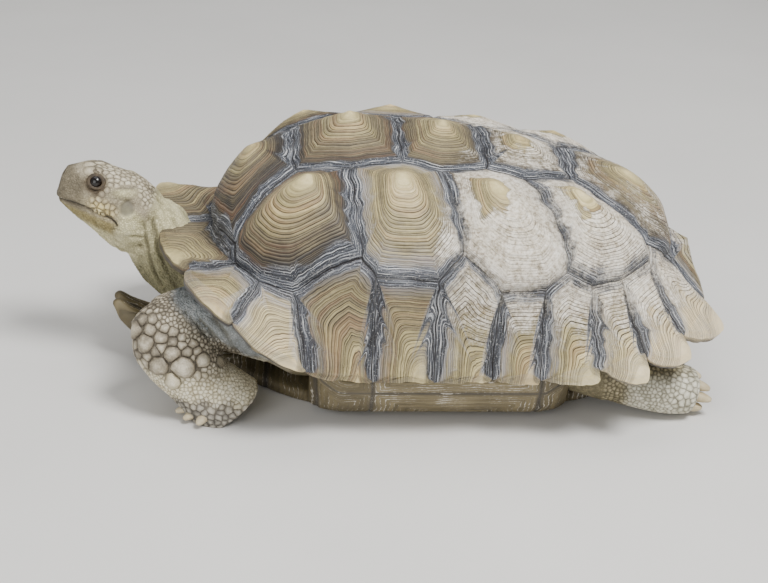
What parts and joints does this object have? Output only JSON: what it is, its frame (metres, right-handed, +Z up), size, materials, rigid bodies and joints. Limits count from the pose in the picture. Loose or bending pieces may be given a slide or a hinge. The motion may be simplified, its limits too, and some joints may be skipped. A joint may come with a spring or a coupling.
{
  "type": "tortoise figure",
  "caption": "Life-size figure of a large grazing tortoise at rest on its belly, head raised, with a high domed shell of peaked plates and a flared, scalloped rim.",
  "frame": {"origin": "on the ground under the belly, at the middle of the carapace's length and on the body's mid-plane", "axes": "+Z up, -X towards the head, -Y towards the animal's left side"},
  "size_m": [0.6426, 0.384, 0.2594],
  "materials": {
    "shell": "horn plates with fine growth ridges, straw to brown, slate seams, dry mud on the rear",
    "belly_shell": "smooth pale yellow horn with shallow seams",
    "skin": "dry folded reptile skin, beige to grey",
    "scaled_skin": "dry reptile skin with raised horn scales",
    "eye": "wet black-brown eye",
    "claw": "worn cream horn"
  },
  "bodies": {
    "root": {"carapace": "shell", "eye_left": "eye", "eye_right": "eye", "forearm_left": "scaled_skin", "forearm_right": "scaled_skin", "foreclaw_left_1": "claw", "foreclaw_left_2": "claw", "foreclaw_left_3": "claw", "foreclaw_left_4": "claw", "foreclaw_left_5": "claw", "foreclaw_right_1": "claw", "foreclaw_right_2": "claw", "foreclaw_right_3": "claw", "foreclaw_right_4": "claw", "foreclaw_right_5": "claw", "forefoot_left": "scaled_skin", "forefoot_right": "scaled_skin", "head": "skin", "hindclaw_left_1": "claw", "hindclaw_left_2": "claw", "hindclaw_left_3": "claw", "hindclaw_left_4": "claw", "hindclaw_right_1": "claw", "hindclaw_right_2": "claw", "hindclaw_right_3": "claw", "hindclaw_right_4": "claw", "hindfoot_left": "scaled_skin", "hindfoot_right": "scaled_skin", "hindleg_left": "skin", "hindleg_right": "skin", "jaw": "skin", "neck": "skin", "plastron": "belly_shell", "tail": "skin", "torso": "skin", "upper_arm_left": "skin", "upper_arm_right": "skin"}
  },
  "joints": []
}
